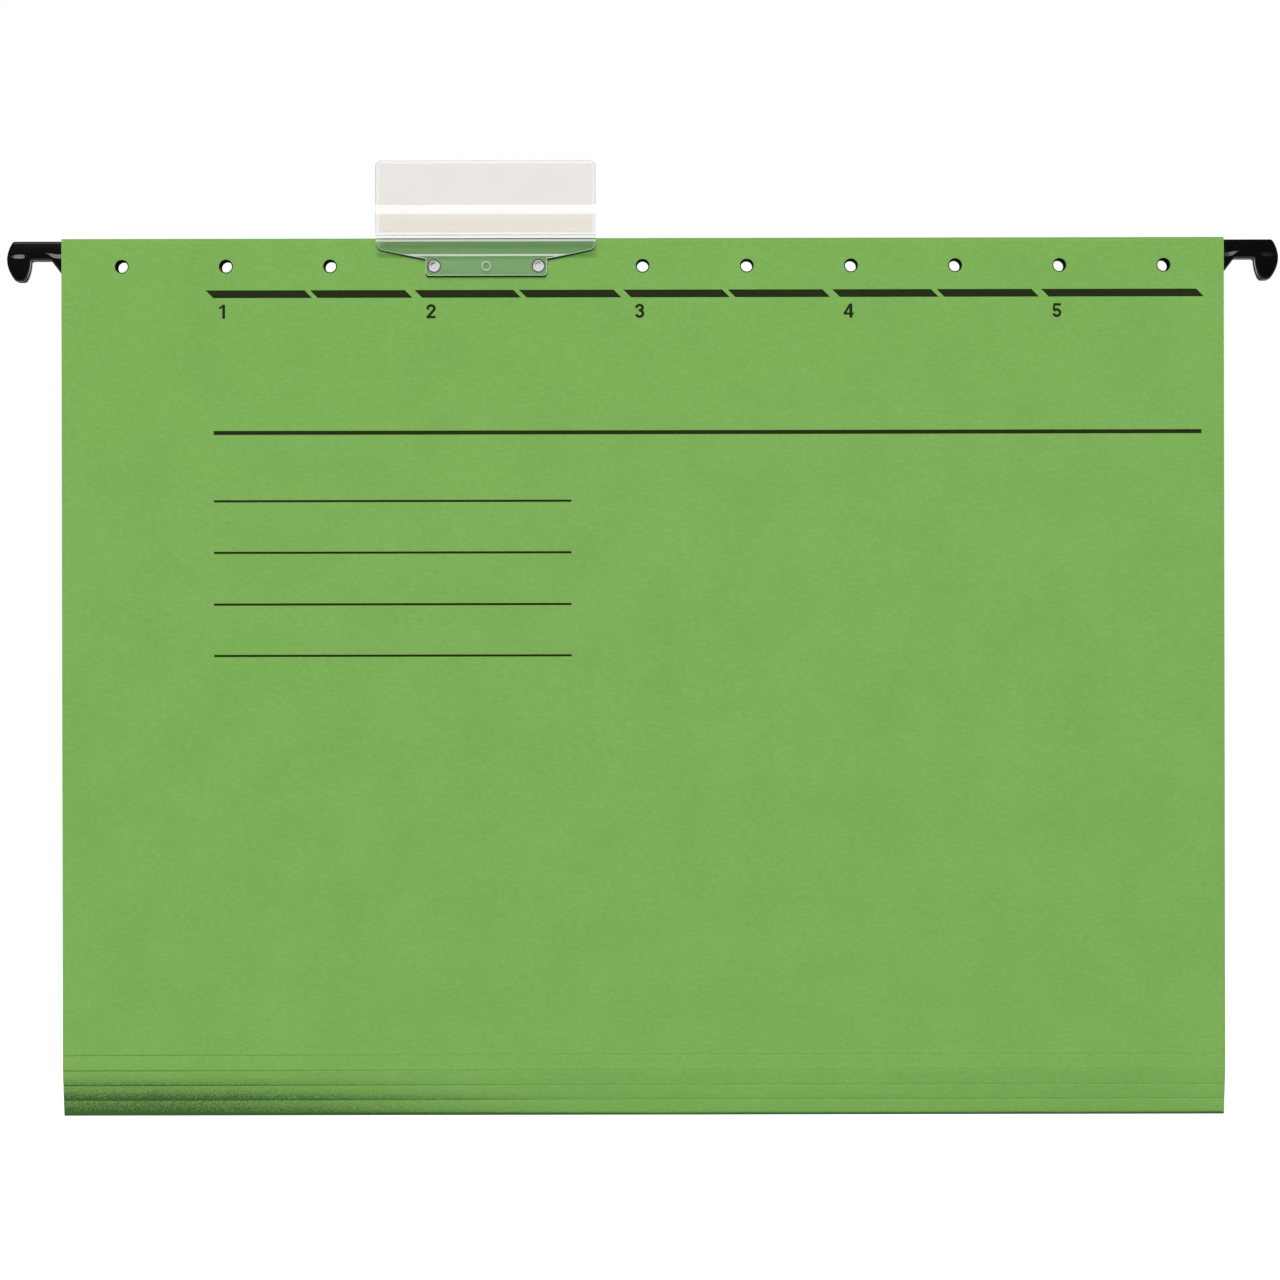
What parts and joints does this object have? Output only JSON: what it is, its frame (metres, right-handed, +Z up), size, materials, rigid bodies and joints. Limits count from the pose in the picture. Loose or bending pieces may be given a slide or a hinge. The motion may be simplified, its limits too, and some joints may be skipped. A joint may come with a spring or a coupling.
{
  "type": "hanging file folder",
  "caption": "A4 hanging file folder: green card with a scored base that spreads, hook rails along both top edges, a leaf that folds open and a clear index tab with a sliding label.",
  "frame": {"origin": "under the middle of the folder, at the bottom of its base fold, midway in the whole depth", "axes": "+Z up, +X along the rails to the right as seen from the front, -Y towards the front with the index tab"},
  "size_m": [0.348, 0.011, 0.2606],
  "materials": {
    "card": "uncoated recycled card",
    "rail": "glossy black",
    "glue": "hot-melt glue",
    "clear_tab": "clear",
    "label": "plain white"
  },
  "bodies": {
    "back_leaf": {"back_leaf": "card", "back_rail": "rail", "back_flap_glue": "glue"},
    "back_base": {"back_base": "card"},
    "front_base": {"front_base": "card"},
    "front_strip": {"front_score_strip": "card"},
    "front_leaf": {"front_leaf": "card", "front_rail": "rail", "front_flap_glue": "glue"},
    "tab": {"tab_holder": "clear_tab"},
    "label": {"label_insert": "label"}
  },
  "joints": [
    {"name": "base_spread", "type": "hinge", "parent": "back_leaf", "child": "back_base", "pos_m": [0, 0.0052, 0.01227], "axis": [-1, 0, 0], "range_deg": [0, 77.5]},
    {"name": "base_fold", "type": "hinge", "parent": "back_base", "child": "front_base", "pos_m": [0, 0.0025, -0.00003], "axis": [-1, 0, 0], "range_deg": [-155, 0]},
    {"name": "front_corner", "type": "hinge", "parent": "front_base", "child": "front_strip", "pos_m": [0, -0.0002, 0.01227], "axis": [-1, 0, 0], "range_deg": [0, 77.5]},
    {"name": "front_leaf_swing", "type": "hinge", "parent": "front_strip", "child": "front_leaf", "pos_m": [0, -0.0005, 0.01647], "axis": [1, 0, 0], "range_deg": [0, 170]},
    {"name": "tab_unplug", "type": "slide", "parent": "front_leaf", "child": "tab", "axis": [0, -1, 0], "range_m": [0, 0.012]},
    {"name": "label_slide", "type": "slide", "parent": "tab", "child": "label", "axis": [1, 0, 0], "range_m": [-0.06, 0.06]}
  ],
  "couplings": [
    {"joint": "base_fold", "follows": "base_spread", "ratio": -2},
    {"joint": "front_corner", "follows": "base_spread", "ratio": 1}
  ]
}
